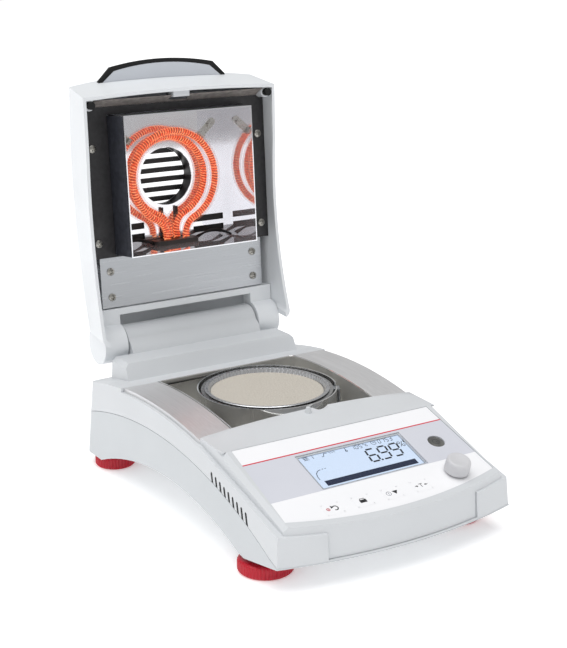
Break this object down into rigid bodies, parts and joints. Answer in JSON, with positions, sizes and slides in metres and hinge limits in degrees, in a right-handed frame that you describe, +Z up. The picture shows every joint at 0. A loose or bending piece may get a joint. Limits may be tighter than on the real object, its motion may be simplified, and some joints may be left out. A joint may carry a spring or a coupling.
{
  "type": "moisture analyzer",
  "caption": "Benchtop halogen moisture analyzer with an arched white base, sloping control panel, round sample pan in a steel well, and a tall hinged heating lid standing open.",
  "frame": {"origin": "on the table, under the middle of the box round the analyzer with its lid open", "axes": "+X to the operator's right, +Y from the control panel to the hinge, +Z up"},
  "size_m": [0.1942, 0.3424, 0.3016],
  "materials": {
    "top_housing": "satin white",
    "bottom_housing": "light grey, fine texture",
    "control_bezel": "satin white",
    "panel_overlay": "printed film",
    "display_window": "clear",
    "display_module": "pale blue backlit field",
    "key_switches": "black",
    "main_board": "green solder mask",
    "encoder": "pressed case",
    "level_cup": "moulded",
    "level_vial": "clear, tinted liquid",
    "rear_feet": "matte",
    "power_inlet": "black",
    "serial_port": "plated shell",
    "chamber_well": "bright drawn sheet",
    "band_left": "brushed",
    "band_right": "brushed",
    "load_cell": "milled",
    "spindle": "turned",
    "hinge_pins": "ground",
    "lid_shell": "satin white",
    "handle_plate": "bluish grey",
    "handle_grip": "black edge",
    "bumpers": "black",
    "catch_tab": "white",
    "lid_frame": "dark, heat resistant",
    "front_apron": "dark, heat resistant",
    "frame_screws": "zinc plated",
    "plate_screws": "zinc plated",
    "steel_plate": "brushed",
    "mirror_hood": "polished sheet",
    "jacket_left": "dark, heat resistant",
    "jacket_right": "dark, heat resistant",
    "sight_tube": "dark",
    "halogen_lamp": "quartz tube, orange glow",
    "lamp_base": "ceramic",
    "lamp_clips": "sprung sheet",
    "sensor_rods": "black sleeve",
    "lid_rear_cover": "satin white",
    "encoder_rotor": "moulded",
    "knob": "fine ribbed side",
    "knob_shaft": "turned",
    "key_power": "domed film key",
    "key_print": "domed film key",
    "key_mode": "domed film key",
    "key_tare": "domed film key",
    "foot_left": "knurled crimson",
    "foot_right": "knurled crimson",
    "pan_support": "turned and milled",
    "draft_ring": "polished",
    "pan_lifter": "bent sheet",
    "lifter_grip": "bent sheet",
    "sample_pan": "fluted foil",
    "fibre_pad": "glass fibre"
  },
  "bodies": {
    "base": {"top_housing": "top_housing", "bottom_housing": "bottom_housing", "control_bezel": "control_bezel", "panel_overlay": "panel_overlay", "display_window": "display_window", "display_module": "display_module", "key_switches": "key_switches", "main_board": "main_board", "encoder": "encoder", "level_cup": "level_cup", "level_vial": "level_vial", "rear_feet": "rear_feet", "power_inlet": "power_inlet", "serial_port": "serial_port", "chamber_well": "chamber_well", "band_left": "band_left", "band_right": "band_right", "load_cell": "load_cell", "spindle": "spindle", "hinge_pins": "hinge_pins"},
    "lid": {"lid_shell": "lid_shell", "handle_plate": "handle_plate", "handle_grip": "handle_grip", "bumpers": "bumpers", "catch_tab": "catch_tab", "lid_frame": "lid_frame", "front_apron": "front_apron", "frame_screws": "frame_screws", "plate_screws": "plate_screws", "steel_plate": "steel_plate", "mirror_hood": "mirror_hood", "jacket_left": "jacket_left", "jacket_right": "jacket_right", "sight_tube": "sight_tube", "halogen_lamp": "halogen_lamp", "lamp_base": "lamp_base", "lamp_clips": "lamp_clips", "sensor_rods": "sensor_rods", "lid_rear_cover": "lid_rear_cover"},
    "encoder_rotor": {"encoder_rotor": "encoder_rotor"},
    "knob": {"knob": "knob", "knob_shaft": "knob_shaft"},
    "key_power": {"key_power": "key_power"},
    "key_print": {"key_print": "key_print"},
    "key_mode": {"key_mode": "key_mode"},
    "key_tare": {"key_tare": "key_tare"},
    "foot_left": {"foot_left": "foot_left"},
    "foot_right": {"foot_right": "foot_right"},
    "pan_support": {"pan_support": "pan_support"},
    "draft_ring": {"draft_ring": "draft_ring"},
    "pan_lifter": {"pan_lifter": "pan_lifter", "lifter_grip": "lifter_grip"},
    "sample_pan": {"sample_pan": "sample_pan", "fibre_pad": "fibre_pad"}
  },
  "joints": [
    {"name": "lid_hinge", "type": "hinge", "parent": "base", "child": "lid", "pos_m": [0, 0.126, 0.089], "axis": [-1, 0, 0], "range_deg": [-94, 0]},
    {"name": "knob_turn", "type": "hinge", "parent": "base", "child": "encoder_rotor", "pos_m": [0.056, -0.14635, 0.04793], "axis": [0, -0.3223, 0.9466], "continuous": true},
    {"name": "knob_press", "type": "slide", "parent": "encoder_rotor", "child": "knob", "axis": [0, -0.3223, 0.9466], "range_m": [-0.0005, 0], "stiffness_N_per_m": 2000},
    {"name": "key_power_press", "type": "slide", "parent": "base", "child": "key_power", "axis": [0, -0.3223, 0.9466], "range_m": [-0.0004, 0], "stiffness_N_per_m": 1500},
    {"name": "key_print_press", "type": "slide", "parent": "base", "child": "key_print", "axis": [0, -0.3223, 0.9466], "range_m": [-0.0004, 0], "stiffness_N_per_m": 1500},
    {"name": "key_mode_press", "type": "slide", "parent": "base", "child": "key_mode", "axis": [0, -0.3223, 0.9466], "range_m": [-0.0004, 0], "stiffness_N_per_m": 1500},
    {"name": "key_tare_press", "type": "slide", "parent": "base", "child": "key_tare", "axis": [0, -0.3223, 0.9466], "range_m": [-0.0004, 0], "stiffness_N_per_m": 1500},
    {"name": "foot_left_turn", "type": "hinge", "parent": "base", "child": "foot_left", "pos_m": [-0.0783, -0.119, 0], "axis": [0, 0, 1], "continuous": true},
    {"name": "foot_right_turn", "type": "hinge", "parent": "base", "child": "foot_right", "pos_m": [0.0783, -0.119, 0], "axis": [0, 0, 1], "continuous": true},
    {"name": "pan_support_lift", "type": "slide", "parent": "base", "child": "pan_support", "axis": [0, 0, 1], "range_m": [0, 0.03]},
    {"name": "draft_ring_lift", "type": "slide", "parent": "pan_support", "child": "draft_ring", "axis": [0, 0, 1], "range_m": [0, 0.06]},
    {"name": "pan_lifter_lift", "type": "slide", "parent": "draft_ring", "child": "pan_lifter", "axis": [0, 0, 1], "range_m": [0, 0.06]},
    {"name": "sample_pan_lift", "type": "slide", "parent": "pan_lifter", "child": "sample_pan", "axis": [0, 0, 1], "range_m": [0, 0.03]}
  ]
}
